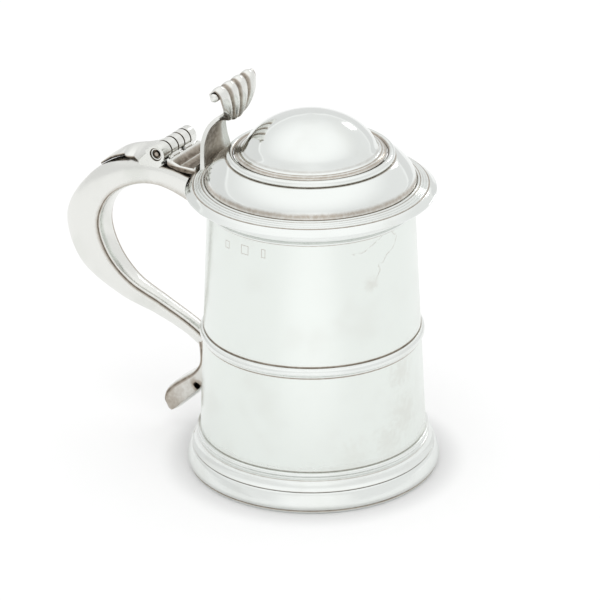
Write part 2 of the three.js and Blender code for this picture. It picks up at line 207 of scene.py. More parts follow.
def make_mesh(name, points, faces, patina_and_shade=None, sharp=40):
    """An object from points in millimetres in the part's frame, smooth apart from sharp edges."""
    mesh = bpy.data.meshes.new(name)
    mesh.from_pydata([Vector(p) * MM for p in points], [], faces)
    work = bmesh.new()
    work.from_mesh(mesh)
    # This layer holds the tarnish and also painted shade in gaps, holes and under overhangs.
    layer = work.verts.layers.float.new("patina_and_shade")
    for vertex, value in zip(work.verts, patina_and_shade or [0.0] * len(points)):
        vertex[layer] = value
    bmesh.ops.remove_doubles(work, verts=work.verts, dist=TINY)
    bmesh.ops.dissolve_degenerate(work, edges=work.edges, dist=TINY / 10)
    bmesh.ops.recalc_face_normals(work, faces=work.faces)
    work.to_mesh(mesh)
    work.free()
    piece = bpy.data.objects.new(name, mesh)
    bpy.context.scene.collection.objects.link(piece)
    smooth(piece, sharp)
    return piece


def smooth(piece, sharp=40):
    piece.data.shade_smooth()
    piece.data.set_sharp_from_angle(angle=math.radians(sharp))


def grid_faces(rows, columns, wrap_rows):
    faces = []
    for i in range(rows if wrap_rows else rows - 1):
        for j in range(columns):
            a, b = i * columns, ((i + 1) % rows) * columns
            k = (j + 1) % columns
            faces.append((a + j, a + k, b + k, b + j))
    return faces


def turned(name, outline, steps=RING_STEPS):
    """A body of revolution about the axis of the cup."""
    points, patina_and_shade = [], []
    for i in range(steps):
        angle = TURN * i / steps
        for r, z in outline:
            points.append((AXIS_X + r * math.cos(angle), r * math.sin(angle), z))
            patina_and_shade.append(crevice(r, z))
    return make_mesh(name, points, grid_faces(steps, len(outline), True), patina_and_shade)


def turned_across(name, centre, outline, steps=72, patina_and_shade=None):
    """A body of revolution about a line along Y through centre, from (radius, place along it)."""
    points = []
    for i in range(steps):
        angle = TURN * i / steps
        for r, y in outline:
            points.append((AXIS_X - centre[0] + r * math.cos(angle), y,
                           centre[1] + r * math.sin(angle)))
    return make_mesh(name, points, grid_faces(steps, len(outline), True),
                     (patina_and_shade or [0.0] * len(outline)) * steps)


def lofted(name, rings, patina_and_shade=None, sharp=40):
    """A skin over closed rings of (reach, y, height), with a flat cap at each end."""
    count = len(rings[0])
    points = [(AXIS_X - reach, y, height) for ring in rings for reach, y, height in ring]
    faces = grid_faces(len(rings), count, False)
    faces.append(tuple(range(count)))
    faces.append(tuple(len(points) - 1 - i for i in range(count)))
    return make_mesh(name, points, faces, patina_and_shade, sharp)


def boolean(piece, tool, operation="DIFFERENCE", sharp=40):
    """Cuts piece with tool or joins them, and removes the tool."""
    step = piece.modifiers.new("shape", "BOOLEAN")
    step.operation = operation
    step.solver = "EXACT"
    step.object = tool
    shape = piece.evaluated_get(bpy.context.evaluated_depsgraph_get())
    mesh = bpy.data.meshes.new_from_object(shape)
    piece.modifiers.clear()
    piece.data = mesh
    bpy.data.objects.remove(tool)
    smooth(piece, sharp)
    return piece


def aside_from(centre, place):
    """How far a place of the part's frame is from the line along Y through (reach, height)."""
    return math.hypot(AXIS_X - centre[0] - place.x, centre[1] - place.z)


def repaint(piece, patina_and_shade_at):
    """Sets the tarnish and painted shade again after a boolean, where the function gives a place a
    value.
    """
    layer = piece.data.attributes["patina_and_shade"]
    for vertex, stored in zip(piece.data.vertices, layer.data):
        value = patina_and_shade_at(vertex.co / MM)
        if value is not None:
            stored.value = value
    return piece


def stand_for(piece, node, material):
    """The piece takes the place of its CAD node, on the same body, with the material given."""
    piece.data.materials.clear()
    piece.data.materials.append(material)
    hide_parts(node)
    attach(piece, BODY_OF[node])
    return piece


# ---- Where the patina gathers: (radius, height, spread, strength) ----

CREVICES = [
    (54.6, 19.1, 0.55, 0.3), (53.9, 20.6, 1.2, 0.16), (55.4, 16.5, 0.35, 0.12),
    (56.2, 15.2, 0.35, 0.36), (58.95, 10.4, 0.4, 0.54), (60.5, 1.5, 0.5, 0.66),
    (61.1, 3.0, 1.8, 0.11), (57.2, 12.4, 1.3, 0.08),
    (52.4, 67.1, 0.5, 0.95), (52.1, 72.5, 0.4, 0.8), (51.9, 73.2, 1.1, 0.1),
    (49.3, 133.2, 0.3, 0.5), (50.2, 134.9, 0.28, 0.42), (49.8, 140.8, 0.6, 0.7),
    (55.7, 144.3, 0.35, 0.6), (54.6, 144.6, 0.3, 0.36), (53.2, 145.1, 0.3, 0.36),
    (51.7, 145.8, 0.35, 0.42), (50.1, 146.4, 0.45, 0.5), (49.8, 147.9, 1.6, 0.38),
    (39.9, 158.0, 0.5, 0.5), (36.4, 160.5, 0.8, 0.62), (35.0, 161.1, 0.9, 0.42),
    (33.6, 161.6, 0.45, 0.5), (31.9, 162.6, 0.9, 0.2),
]
SPREADS_REACHED = 4


def crevice(r, z):
    most = 0.0
    for centre_r, centre_z, spread, strength in CREVICES:
        away = math.hypot(r - centre_r, z - centre_z) / spread
        if away < SPREADS_REACHED:
            most = max(most, strength * math.exp(-away * away))
    return most


# ---- Materials ----


class Nodes:
    """Short calls for building a node tree."""

    def __init__(self, tree):
        self.tree = tree
        tree.nodes.clear()

    def add(self, kind, inputs=None, **settings):
        node = self.tree.nodes.new(kind)
        for key, value in settings.items():
            setattr(node, key, value)
        for key, value in (inputs or {}).items():
            if isinstance(value, bpy.types.NodeSocket):
                self.tree.links.new(value, node.inputs[key])
            else:
                node.inputs[key].default_value = value
        return node

    def math(self, operation, a, b=0.0, clamp=False):
        node = self.add("ShaderNodeMath", {0: a, 1: b}, operation=operation, use_clamp=clamp)
        return node.outputs[0]

    def ramp(self, value, low, high, to_low=0.0, to_high=1.0):
        node = self.add("ShaderNodeMapRange", {
            "Value": value, "From Min": low, "From Max": high,
            "To Min": to_low, "To Max": to_high}, interpolation_type="SMOOTHSTEP")
        return node.outputs["Result"]

    def noise(self, vector, scale, detail=4.0, roughness=0.55):
        node = self.add("ShaderNodeTexNoise", {
            "Vector": vector, "Scale": scale, "Detail": detail, "Roughness": roughness})
        return node.outputs["Fac"]


# Node sockets named "A" and "B" exist once for each data type, so colours are set by place.
MIX_A = 6
MIX_B = 7
MIX_RESULT = 2

PALE = (0.78, 0.818, 0.785, 1)
PALE_LID = (0.80, 0.825, 0.805, 1)
PALE_WARM = (0.79, 0.795, 0.765, 1)
CLOUD = (0.70, 0.715, 0.675, 1)
TAN = (0.43, 0.385, 0.33, 1)
BROWN = (0.17, 0.14, 0.11, 1)
BLACK_BROWN = (0.02, 0.017, 0.014, 1)
# Colours of the tarnish and painted shade as they deepen: (colour, where it starts, where it
# covers).
PATINA_AND_SHADE_COLOURS = [(TAN, 0.04, 0.45), (BROWN, 0.4, 0.85), (BLACK_BROWN, 0.82, 1.0)]
PATINA_AND_SHADE_UNEVEN = (0.78, 1.12)
PATINA_AND_SHADE_ROUGHENS = 0.3
HOLLOW_SIZE = 1.6


def colour_mix(n, share, a, b):
    node = n.add("ShaderNodeMix", data_type="RGBA")
    for place, value in ((0, share), (MIX_A, a), (MIX_B, b)):
        if isinstance(value, bpy.types.NodeSocket):
            n.tree.links.new(value, node.inputs[place])
        else:
            node.inputs[place].default_value = value
    return node.outputs[MIX_RESULT]


SLOW_SCALE = 38
MOTTLE_SCALE = 420
GRAIN_SCALE = 2400
HAIR_SCALE = 70
HAIR_TURNS = [(0.3, 0.2, 0.5), (1.2, 0.9, 2.1)]
HAIR_STRETCH = (1.0, 22.0, 22.0)
HAIR_DEPTH = 0.03
DENT_DEPTH = 0.35


def silver(name, pale, clouding, roughness, depth=0.0, marks=False):
    """Old silver: clouded colour, brown tarnish and painted shade in hollows, hairline scratches,
    slow dents.

    depth is how strongly hollows that ambient occlusion finds add painted shade to the tarnish."""
    material = bpy.data.materials.new(name)
    material.use_nodes = True
    n = Nodes(material.node_tree)
    place = n.add("ShaderNodeTexCoord").outputs["Object"]
    slow = n.noise(place, SLOW_SCALE, 3)
    mottle = n.noise(place, MOTTLE_SCALE, 6, 0.62)
    grain = n.noise(place, GRAIN_SCALE, 3)

    painted = n.add("ShaderNodeAttribute", attribute_name="patina_and_shade").outputs["Fac"]
    hollow = painted
    if depth:
        # Ambient occlusion darkens enclosed hollows and the gaps between parts: this is painted
        # shade.
        occlusion = n.add("ShaderNodeAmbientOcclusion", {"Distance": HOLLOW_SIZE * MM}, samples=6)
        closed = n.ramp(occlusion.outputs["AO"], 0.72, 0.25, 0.0, depth)
        hollow = n.math("MAXIMUM", painted, closed)
    uneven = n.ramp(mottle, 0.3, 0.7, *PATINA_AND_SHADE_UNEVEN)
    patina_and_shade = n.math("MULTIPLY", hollow, uneven, clamp=True)
    cloud = n.math("MULTIPLY", n.ramp(slow, 0.48, 0.72), clouding, clamp=True)
    if marks:
        cloud = n.math("MAXIMUM", cloud, stains(n, place, mottle))
        patina_and_shade = n.math("MAXIMUM", patina_and_shade, punches(n, place))
        patina_and_shade = n.math("MAXIMUM", patina_and_shade, tide_marks(n, place, mottle))

    colour = colour_mix(n, cloud, pale, CLOUD)
    for tint, start, full in PATINA_AND_SHADE_COLOURS:
        colour = colour_mix(n, n.ramp(patina_and_shade, start, full), colour, tint)

    rough = n.math("ADD", n.ramp(slow, 0.3, 0.7, roughness, roughness + 0.07),
                   n.math("MULTIPLY", patina_and_shade, PATINA_AND_SHADE_ROUGHENS))

    stretched = []
    for turn in HAIR_TURNS:
        mapping = n.add("ShaderNodeMapping", {
            "Vector": place, "Rotation": turn, "Scale": HAIR_STRETCH})
        stretched.append(n.noise(mapping.outputs["Vector"], HAIR_SCALE, 2))
    hairs = n.math("ADD", *stretched)
    fine = n.add("ShaderNodeBump", {
        "Strength": 0.10, "Distance": HAIR_DEPTH * MM,
        "Height": n.math("ADD", hairs, n.math("MULTIPLY", grain, 0.4))})
    dents = n.add("ShaderNodeBump", {
        "Strength": 0.5, "Distance": DENT_DEPTH * MM, "Height": slow, "Normal": fine.outputs[0]})

    shader = n.add("ShaderNodeBsdfPrincipled", {
        "Base Color": colour, "Metallic": 1.0, "Roughness": rough, "Normal": dents.outputs[0]})
    out = n.add("ShaderNodeOutputMaterial")
    n.tree.links.new(shader.outputs[0], out.inputs["Surface"])
    return material


def drum_place(n, place, degrees, height):
    """Distances in millimetres, round the drum and up it, from a spot on its wall."""
    parts = n.add("ShaderNodeSeparateXYZ", {0: place}).outputs
    x = n.math("SUBTRACT", parts[0], AXIS_X * MM)
    angle = n.math("SUBTRACT", n.math("ARCTAN2", parts[1], x), math.radians(degrees))
    across = n.math("MULTIPLY", angle, drum_radius(height))
    up = n.math("SUBTRACT", n.math("DIVIDE", parts[2], MM), height)
    return across, up


# Three blank punches near the mouth: (degrees, height, half width, half height).
PUNCHES = [(-112.2, 126.4, 1.3, 1.7), (-98.9, 127.0, 2.0, 2.1), (-87.0, 127.4, 0.9, 2.0)]
PUNCH_LINE = 0.32
PUNCH_STRENGTH = 0.36


def punches(n, place):
    """The worn edges of plain punches, with nothing inside them."""
    most = None
    for degrees, height, half_width, half_height in PUNCHES:
        across, up = drum_place(n, place, degrees, height)
        edge = n.math("MAXIMUM",
                      n.math("SUBTRACT", n.math("ABSOLUTE", across), half_width),
                      n.math("SUBTRACT", n.math("ABSOLUTE", up), half_height))
        line = n.ramp(n.math("ABSOLUTE", edge), PUNCH_LINE, 0.0, 0.0, PUNCH_STRENGTH)
        most = line if most is None else n.math("MAXIMUM", most, line)
    return most


# Soft grey stains on the drum: (degrees, height, radius, strength).
STAINS = [(-7.8, 60.3, 10, 0.7), (-6.0, 38.0, 13, 0.75), (-18.7, 28.7, 11, 0.6),
          (-27.2, 110.6, 4.5, 0.9), (-40.0, 24.0, 12, 0.45), (-95.0, 62.0, 9, 0.3)]
# Tide marks of drops that ran down and dried on the drum, as lines of (degrees, height).
TIDES = [
    [(-10.3, 132.6), (-7.1, 129.4), (-8.5, 127), (-10.9, 124.4), (-15.6, 122.8), (-18.5, 119.6),
     (-21.9, 119), (-20.7, 116.2), (-23.5, 112.5)],
    [(-18.4, 132.6), (-23.6, 130.6), (-28.4, 128.4), (-31.6, 127.1), (-38, 127.2)],
]
TIDE_MIDDLE = (-20, 123)
TIDE_LINE = 0.75
TIDE_STRENGTH = 0.24
TIDE_LEAST = 0.45 * TIDE_STRENGTH
TIDE_WAVER = 3.0
STAIN_RAGGEDNESS = 2.6


def distance(n, place, degrees, height):
    across, up = drum_place(n, place, degrees, height)
    return n.math("SQRT", n.math("ADD", n.math("MULTIPLY", across, across),
                                 n.math("MULTIPLY", up, up)))


def stains(n, place, mottle):
    most = None
    for degrees, height, radius, strength in STAINS:
        away = n.math("ADD", distance(n, place, degrees, height),
                      n.math("MULTIPLY", n.math("SUBTRACT", mottle, 0.5), radius * STAIN_RAGGEDNESS))
        spot = n.ramp(away, radius * 1.2, 0, 0.0, strength)
        most = spot if most is None else n.math("MAXIMUM", most, spot)
    return most


def tide_marks(n, place, mottle):
    """The drying lines, wavering with the mottle and fading in and out along their length."""
    degrees, height = TIDE_MIDDLE
    across, up = drum_place(n, place, degrees, height)
    waver = n.math("MULTIPLY", n.math("SUBTRACT", mottle, 0.5), TIDE_WAVER)
    across, up = n.math("ADD", across, waver), n.math("ADD", up, waver)
    turn = math.radians(1) * drum_radius(height)
    nearest = None
    for line in TIDES:
        flat = [((d - degrees) * turn, h - height) for d, h in line]
        for (ax, ay), (bx, by) in zip(flat, flat[1:]):
            length = math.hypot(bx - ax, by - ay)
            tx, ty = (bx - ax) / length, (by - ay) / length
            from_x, from_y = n.math("SUBTRACT", across, ax), n.math("SUBTRACT", up, ay)
            along = n.math("ADD", n.math("MULTIPLY", from_x, tx), n.math("MULTIPLY", from_y, ty))
            aside = n.math("SUBTRACT", n.math("MULTIPLY", from_x, ty),
                           n.math("MULTIPLY", from_y, tx))
            beyond = n.math("MAXIMUM", n.math("MULTIPLY", along, -1),
                            n.math("SUBTRACT", along, length))
            away = n.math("MAXIMUM", n.math("ABSOLUTE", aside), beyond)
            nearest = away if nearest is None else n.math("MINIMUM", nearest, away)
    strength = n.ramp(mottle, 0.38, 0.56, TIDE_LEAST, TIDE_STRENGTH)
    return n.math("MULTIPLY", n.ramp(nearest, TIDE_LINE, 0.0), strength)


BRIGHT = silver("old_silver_bright", PALE_LID, 0.35, 0.15)
LID = silver("old_silver_lid", PALE_LID, 0.3, 0.06)
DRUM = silver("old_silver_drum", PALE, 0.3, 0.2, marks=True)
WARM = silver("old_silver_handle", PALE_WARM, 0.8, 0.2)
CAST = silver("old_silver_cast", PALE_WARM, 0.6, 0.2, depth=0.6)


# ---- The cup, turned ----

# How far the wall reaches down past the CAD drum, to stand on the bead of the foot.
DRUM_SEAM = 0.36
# Heights of the dark lines round the drum, where the mesh is finer.
DRUM_LINES = (19.2, 67.1, 72.4, 133.2)
LINE_STEP = 0.22


def build_drum():
    steps = 40
    heights = [DRUM_BOTTOM + (DRUM_TOP - DRUM_BOTTOM) * i / steps for i in range(steps + 1)]
    for line in DRUM_LINES:
        heights += [line + step * LINE_STEP for step in range(-4, 9)]
    wall = [(drum_radius(z), z) for z in sorted(heights) if DRUM_BOTTOM <= z <= DRUM_TOP]
    wall[0] = (wall[0][0], DRUM_BOTTOM - DRUM_SEAM)
    inner = [(r - SHEET, z) for r, z in reversed(wall)]
    stand_for(turned("drum_silver", softened(wall + inner)), "body_drum", DRUM)


FLOOR_SAG = 0.5
FLOOR_BEND = 0.55  # where the floor starts to fall, as a share of its radius


def build_cup_floor():
    low, high = foot_of("base_disc"), top_of("base_disc")
    edge = drum_radius(DRUM_BOTTOM) - SHEET
    bend = (edge * FLOOR_BEND, high - SHEET - FLOOR_SAG)
    under = curve([(0, high - SHEET), bend, (edge, low)], 12)
    over = [(r, z + SHEET) for r, z in reversed(under)]
    stand_for(turned("floor_silver", under + over), "base_disc", BRIGHT)


BEAD_BACK = 52.6
BEAD_CENTRE = (55.2, 17.9)
BEAD_RADIUS = 1.0


def build_foot_bead():
    half_round = [(BEAD_BACK, BEAD_CENTRE[1] - BEAD_RADIUS),
                  *arc(BEAD_CENTRE, BEAD_RADIUS, -90, 90, 14),
                  (BEAD_BACK, BEAD_CENTRE[1] + BEAD_RADIUS)]
    stand_for(turned("foot_bead_silver", softened(half_round)), "foot_bead", BRIGHT)


SKIRT_TOP = 16.75
SKIRT_RING = 0.35  # radius of the two small rings above the hollow
SKIRT_HOLLOW = [(56.1, 14.9), (56.5, 13.4), (57.4, 11.9), (58.7, 10.7)]
SKIRT_INSIDE = [(58.7, 10.35), (56.3, 10.4), (54.7, 12.4), (54.1, 15.1), (52.4, 15.1)]


def build_foot_skirt():
    rings = [(52.4, SKIRT_TOP), (55.3, SKIRT_TOP), *arc((55.3, 16.2), SKIRT_RING, 70, -70, 6),
             (55.6, 15.75), *arc((55.8, 15.3), SKIRT_RING, 90, -50, 6)]
    skirt = rings + curve(SKIRT_HOLLOW, 8) + SKIRT_INSIDE
    stand_for(turned("foot_skirt_silver", softened(skirt)), "foot_skirt", BRIGHT)


RIM_FACE = [(58.6, 10.1), (59.3, 9.3), (60.1, 7.4), (60.8, 5.3), (FOOT_RADIUS, 3.3), (61.0, 2.3),
            (60.6, 1.7)]
RIM_BASE = [(60.35, 1.45), (60.55, 1.1), (60.5, 0.5), (60.0, 0), (57.6, 0), (57.2, 4.0),
            (56.6, 8.0), (56.3, 10.1)]


def build_foot_rim():
    rim = curve(RIM_FACE, 7) + RIM_BASE
    stand_for(turned("foot_rim_silver", softened(rim)), "foot_rim", BRIGHT)


GIRDLE_STEP = 0.75  # how far the flat edges of the girdle stand out, and how high they are
GIRDLE_SWELL = 1.0
GIRDLE_ROUNDNESS = 0.7


def build_girdle():
    low, high = foot_of("girdle_wire"), top_of("girdle_wire")
    face = drum_radius((low + high) / 2)
    ledge = face + GIRDLE_STEP
    rise = high - low - 2 * GIRDLE_STEP
    steps = 14
    wire = [(face - 0.1, low), (ledge - 0.1, low), (ledge, low + GIRDLE_STEP - 0.1)]
    for i in range(steps + 1):
        swell = GIRDLE_SWELL * math.sin(math.pi * i / steps) ** GIRDLE_ROUNDNESS
        wire.append((ledge + swell, low + GIRDLE_STEP + rise * i / steps))
    wire += [(ledge, high - GIRDLE_STEP + 0.1), (ledge - 0.15, high), (face - 0.25, high)]
    stand_for(turned("girdle_silver", softened(wire, 0.1)), "girdle_wire", BRIGHT)


LIP_FOOT = 133.4
LIP_TOP = 140.3
LIP_BEAD = 0.6  # radius of the bead under the lip


def build_lip():
    mouth = [(drum_radius(LIP_FOOT) - 0.1, LIP_FOOT), (drum_radius(LIP_FOOT) + 0.5, LIP_FOOT),
             *arc((drum_radius(134) + 0.55, 134.1), LIP_BEAD, -80, 80, 8),
             (drum_radius(134.9) + 0.55, 134.85)]
    mouth += curve([(drum_radius(135) + 0.8, 135.0), (drum_radius(136) + 1.8, 136.0),
                    (drum_radius(137.6) + 2.4, 137.6), (drum_radius(139) + 2.1, 139.2),
                    (drum_radius(140) + 1.1, LIP_TOP)], 6)
    mouth += [(drum_radius(LIP_TOP) - 0.1, LIP_TOP)]
    stand_for(turned("lip_silver", softened(mouth, 0.12)), "lip_wire", BRIGHT)


# ---- The lid, turned ----

FLANGE_FACE = [(58.7, 142.3), (57.2, 143.6), (56.1, 144.25)]
FLANGE_UNDER = [(50.2, 145.0), (53.0, 143.7), (56.5, 142.2)]
FLANGE_REEDS = 4
REED_HEIGHT = 0.5


def build_flange():
    seat = foot_of("lid_flange")
    edge = [(58.6, seat), (59.2, seat + 0.15), *arc((59.0, 141.55), 0.4, -40, 80, 8)]
    reeded = [(55.8, 144.2), *reeds((55.5, 144.2), (50.2, 146.2), FLANGE_REEDS, REED_HEIGHT)]
    flange = edge + curve(FLANGE_FACE, 8) + reeded + FLANGE_UNDER
    stand_for(turned("lid_flange_silver", softened(flange, 0.08)), "lid_flange", LID)


BEZEL_BACK = 51.8
BEZEL_TOP = 142.0
BEZEL_FOOT = 135.6
BEZEL_WALL = 1.2
BEZEL_PLAY = 1.0  # between the bezel and the inside of the drum


def build_bezel():
    seat = foot_of("lid_flange")
    ring = drum_radius(DRUM_TOP) - SHEET - BEZEL_PLAY
    bezel = [(BEZEL_BACK, seat), (BEZEL_BACK, BEZEL_TOP), (ring - BEZEL_WALL, BEZEL_TOP),
             (ring - BEZEL_WALL, BEZEL_FOOT), (ring - 0.2, BEZEL_FOOT),
             (ring, BEZEL_FOOT + 0.8), (ring, seat)]
    stand_for(turned("lid_bezel_silver", softened(bezel)), "lid_bezel", BRIGHT)


OGEE = [(50.1, 146.3), (49.7, 147.9), (48.9, 149.9), (47.0, 152.5), (44.3, 155.2), (41.8, 157.1),
        (40.2, 157.85), (38.1, 158.1)]
OGEE_DROP = 0.55  # how far the inside lies below the outside, as a share of the sheet


def build_lower_dome():
    ogee = curve(OGEE, 8)
    inside = [(r - SHEET, z - SHEET * OGEE_DROP) for r, z in reversed(ogee)]
    stand_for(turned("lid_lower_dome_silver", softened(ogee + inside)), "lid_lower_dome", LID)


STEP_CENTRE = (38.05, 159.15)
STEP_RADIUS = 1.75
STEP_BACK = [(36.8, 160.4), (36.3, 159.9), (36.3, 158.2), (39.5, 158.15)]


def build_step_wire():
    step = arc(STEP_CENTRE, STEP_RADIUS, -28, 120, 16) + STEP_BACK
    stand_for(turned("lid_step_silver", softened(step)), "lid_step_wire", LID)


DOME_SKIRT = [(36.0, 160.3), (35.1, 161.0), (33.9, 161.5)]
DOME_FACE = [(33.5, 161.6), (32.5, 161.95), (31.6, 163.1), (29.3, 166.9), (25.7, 170.7),
             (21.0, 174.1), (14.9, 176.95), (8.0, 178.85), (0, top_of("lid_upper_dome"))]
DOME_LINING = [(0, 178.3), (7.8, 177.5), (14.4, 175.7), (20.3, 172.9), (24.8, 169.8),
               (28.2, 166.2), (30.2, 163.4), (31.8, 161.0), (33.9, 160.2), (35.0, 159.0)]


def build_upper_dome():
    dome = curve(DOME_SKIRT, 6) + curve(DOME_FACE, 9) + curve(DOME_LINING, 5)
    stand_for(turned("lid_upper_dome_silver", dome), "lid_upper_dome", LID)


# ---- Handle ----

SEAM = [(45, 114.8), (62.2, 124.6), (80.3, 129.8), (97.8, 126.4), (111, 116.6), (116.9, 101.5),
        (112.3, 86), (101, 73.6), (83.3, 65), (66, 56.6), (51, 46.5)]
CREST = [(45, 134), (61.5, 138.4), (80, 141.6), (101.5, 139), (123.2, 125.6), (138.1, 101.8),
         (131.2, 78), (108.2, 63.4), (86.8, 57.4), (69.2, 50.6), (54.5, 40.4)]
HANDLE_HALF_WIDTH = [8, 8, 7.9, 7.6, 7.4, 7.2, 6.8, 6.0, 5.1, 4.8, 4.8]
BOXINESS = [0.5, 0.5, 0.45, 0.25, 0.1, 0, 0, 0, 0.1, 0.2, 0.2]
HANDLE_STEPS = 170
HANDLE_SEAM_TARNISH = 0.3
HANDLE_SEAM_SPREAD = 0.06
HANDLE_INSIDE_TARNISH = 0.6
# Painted shade on the handle's back below the hinge, and the bright margin that it leaves at each
# side.
PLATE_SHADE = 1.3
PLATE_SHADE_MARGIN = 1.0
PLATE_SHADE_FADE = 0.5
PLATE_SHADE_REACHES = (56, 82)


def on_handle(angle, inset, s):
    seam = spline(SEAM, s)
    outwards = spline(CREST, s) - seam
    depth = outwards.length
    outwards.normalize()
    power = 1 - graded(BOXINESS, s)
    across = math.copysign(abs(math.cos(angle)) ** power, math.cos(angle))
    up = abs(math.sin(angle)) ** power
    point = seam + outwards * (depth - inset) * up
    return point.x, (graded(HANDLE_HALF_WIDTH, s) - inset) * across, point.y


def under_plate(reach):
    """1 on the part of the handle's back that lies in the dark below the hinge, fading to 0."""
    front, back = PLATE_SHADE_REACHES
    return min(1, max(0, (back - reach) / 3)) * min(1, max(0, (reach - front) / 2))


def cup_cutter():
    """The inside of the cup and foot, out to the middle of their walls."""
    outline = [(0, -5), (57, -5), (57, 9), (54.5, 14), (53.8, 19.3)]
    outline += [(drum_radius(z) - SHEET / 2, z) for z in (20, 60, 100, 142)] + [(0, 142)]
    return turned("cutter", outline, CUTTER_STEPS)


def build_handle_back():
    """The hollow handle's back: a D section with a wall, painted shade on its upper branch at the
    hinge.
    """
    outer = [math.pi * i / 40 for i in range(41)]
    inner = [math.pi * i / 20 for i in range(20, -1, -1)]
    rings, patina_and_shade = [], []
    for i in range(HANDLE_STEPS + 1):
        s = i / HANDLE_STEPS
        rings.append([on_handle(a, 0, s) for a in outer]
                     + [on_handle(a, HANDLE_WALL, s) for a in inner])
        on_upper_branch = s < 0.5
        shade = PLATE_SHADE * under_plate(spline(CREST, s).x) * on_upper_branch
        half = graded(HANDLE_HALF_WIDTH, s)
        for a in outer:
            from_side = half - abs(on_handle(a, 0, s)[1])
            seam = math.exp(-((min(a, math.pi - a) / HANDLE_SEAM_SPREAD) ** 2))
            past_margin = min(1, max(0, (from_side - PLATE_SHADE_MARGIN) / PLATE_SHADE_FADE))
            patina_and_shade.append(max(HANDLE_SEAM_TARNISH * seam, shade * past_margin))
        patina_and_shade += [HANDLE_INSIDE_TARNISH] * len(inner)
    shell = boolean(lofted("handle_back_silver", rings, patina_and_shade), cup_cutter())
    stand_for(shell, "handle_shell", WARM)


STRAP_BULGE = 2.0
STRAP_SUNK = 0.2
STRAP_ROUNDNESS = 0.8
STRAP_DEPTH = 0.8
STRAP_STEPS = 30
# Painted shade along the strap's sides and on its back edges, in the recess between strap and shell.
STRAP_EDGE_SHADE = 0.62
STRAP_SPREAD = 0.26
STRAP_BACK_SHADE = 0.7


def build_handle_strap():
    rings, patina_and_shade = [], []
    for i in range(HANDLE_STEPS + 1):
        s = i / HANDLE_STEPS
        seam = spline(SEAM, s)
        outwards = (spline(CREST, s) - seam).normalized()
        half = graded(HANDLE_HALF_WIDTH, s) - HANDLE_WALL - SOLDER / 2
        ring = []
        for k in range(STRAP_STEPS + 1):
            turn = math.pi * k / STRAP_STEPS
            bulge = STRAP_BULGE * math.sin(turn) ** STRAP_ROUNDNESS - STRAP_SUNK
            point = seam - outwards * bulge
            ring.append((point.x, half * math.cos(turn), point.y))
            side = min(turn, math.pi - turn)
            patina_and_shade.append(STRAP_EDGE_SHADE * math.exp(-((side / STRAP_SPREAD) ** 2)))
        for y in (-half, half):
            point = seam + outwards * STRAP_DEPTH
            ring.append((point.x, y, point.y))
            patina_and_shade.append(STRAP_BACK_SHADE)
        rings.append(ring)
    strap = boolean(lofted("handle_strap_silver", rings, patina_and_shade), cup_cutter())
    stand_for(strap, "handle_strap", WARM)


TERMINAL_BACK = [(62.6, 51), (61.2, 44), (60.8, 38.6), (63.6, 34.2), (69.6, 29.6), (75.6, 25),
                 (79.8, 20.2), (81.2, 14.9), (79.4, 10.6)]
TERMINAL_INSIDE = [(48, 51), (49, 42), (52, 36), (56.7, 28.5), (61.8, 22.3), (66.3, 17.8),
                   (70.6, 13.8), (74.2, 10.7), (77, 9.1)]
TERMINAL_HALF_WIDTH = [4.8, 5.6, 6.8, 7.4, 7.5, 7.5, 7.5, 7.0, 6.0]
TERMINAL_TARNISH = [0.2, 0.2, 0.12, 0.2, 0.22, 0.26, 0.36, 0.42, 0.36]
TERMINAL_SQUARENESS = 0.35
TERMINAL_STEPS = 90
TERMINAL_CORNERS = 44
# The sunk seam along each flank, as shares of the way from the inside of the tail to its back.
FLANK_SEAM = 0.86
FLANK_SEAM_SPREAD = 0.07
FLANK_SEAM_DEPTH = 0.05
FLANK_SEAM_TARNISH = 0.8
VENT_PLACE = (61.1, 26.8)
VENT_RADIUS = 1.5
VENT_DEPTH = 2.5
VENT_SIDES = 20
# Painted shade inside the vent hole.
VENT_SHADE = 1.3
# The flank is darker round the vent.
VENT_SURROUND_SPREAD = 3.2
VENT_SURROUND_DARKENING = 0.95


def build_terminal():
    """The tail below the lower joint: a tapered bar with a vent hole in its near flank."""
    rings, patina_and_shade = [], []
    for i in range(TERMINAL_STEPS + 1):
        s = i / TERMINAL_STEPS
        back, inside = spline(TERMINAL_BACK, s), spline(TERMINAL_INSIDE, s)
        half = graded(TERMINAL_HALF_WIDTH, s)
        ring = []
        for k in range(TERMINAL_CORNERS):
            turn = TURN * k / TERMINAL_CORNERS
            u = math.copysign(abs(math.cos(turn)) ** TERMINAL_SQUARENESS, math.cos(turn))
            v = math.copysign(abs(math.sin(turn)) ** TERMINAL_SQUARENESS, math.sin(turn))
            v = (1 + v) / 2
            seam = math.exp(-(((v - FLANK_SEAM) / FLANK_SEAM_SPREAD) ** 2)) * (abs(u) > 0.9)
            point = inside.lerp(back, v)
            ring.append((point.x, u * half * (1 - FLANK_SEAM_DEPTH * seam), point.y))
            round_vent = math.exp(-(math.hypot(point.x - VENT_PLACE[0], point.y - VENT_PLACE[1])
                               / VENT_SURROUND_SPREAD) ** 2)
            on_flank = abs(u) > 0.93
            flank = max(graded(TERMINAL_TARNISH, s), VENT_SURROUND_DARKENING * round_vent) if on_flank else 0.03
            patina_and_shade.append(max(flank * (v < 0.9), FLANK_SEAM_TARNISH * seam))
        rings.append(ring)
    tail = boolean(lofted("terminal_silver", rings, patina_and_shade), cup_cutter())
    tail = repaint(boolean(tail, vent_drill()), in_vent)
    stand_for(tail, "handle_terminal", CAST)


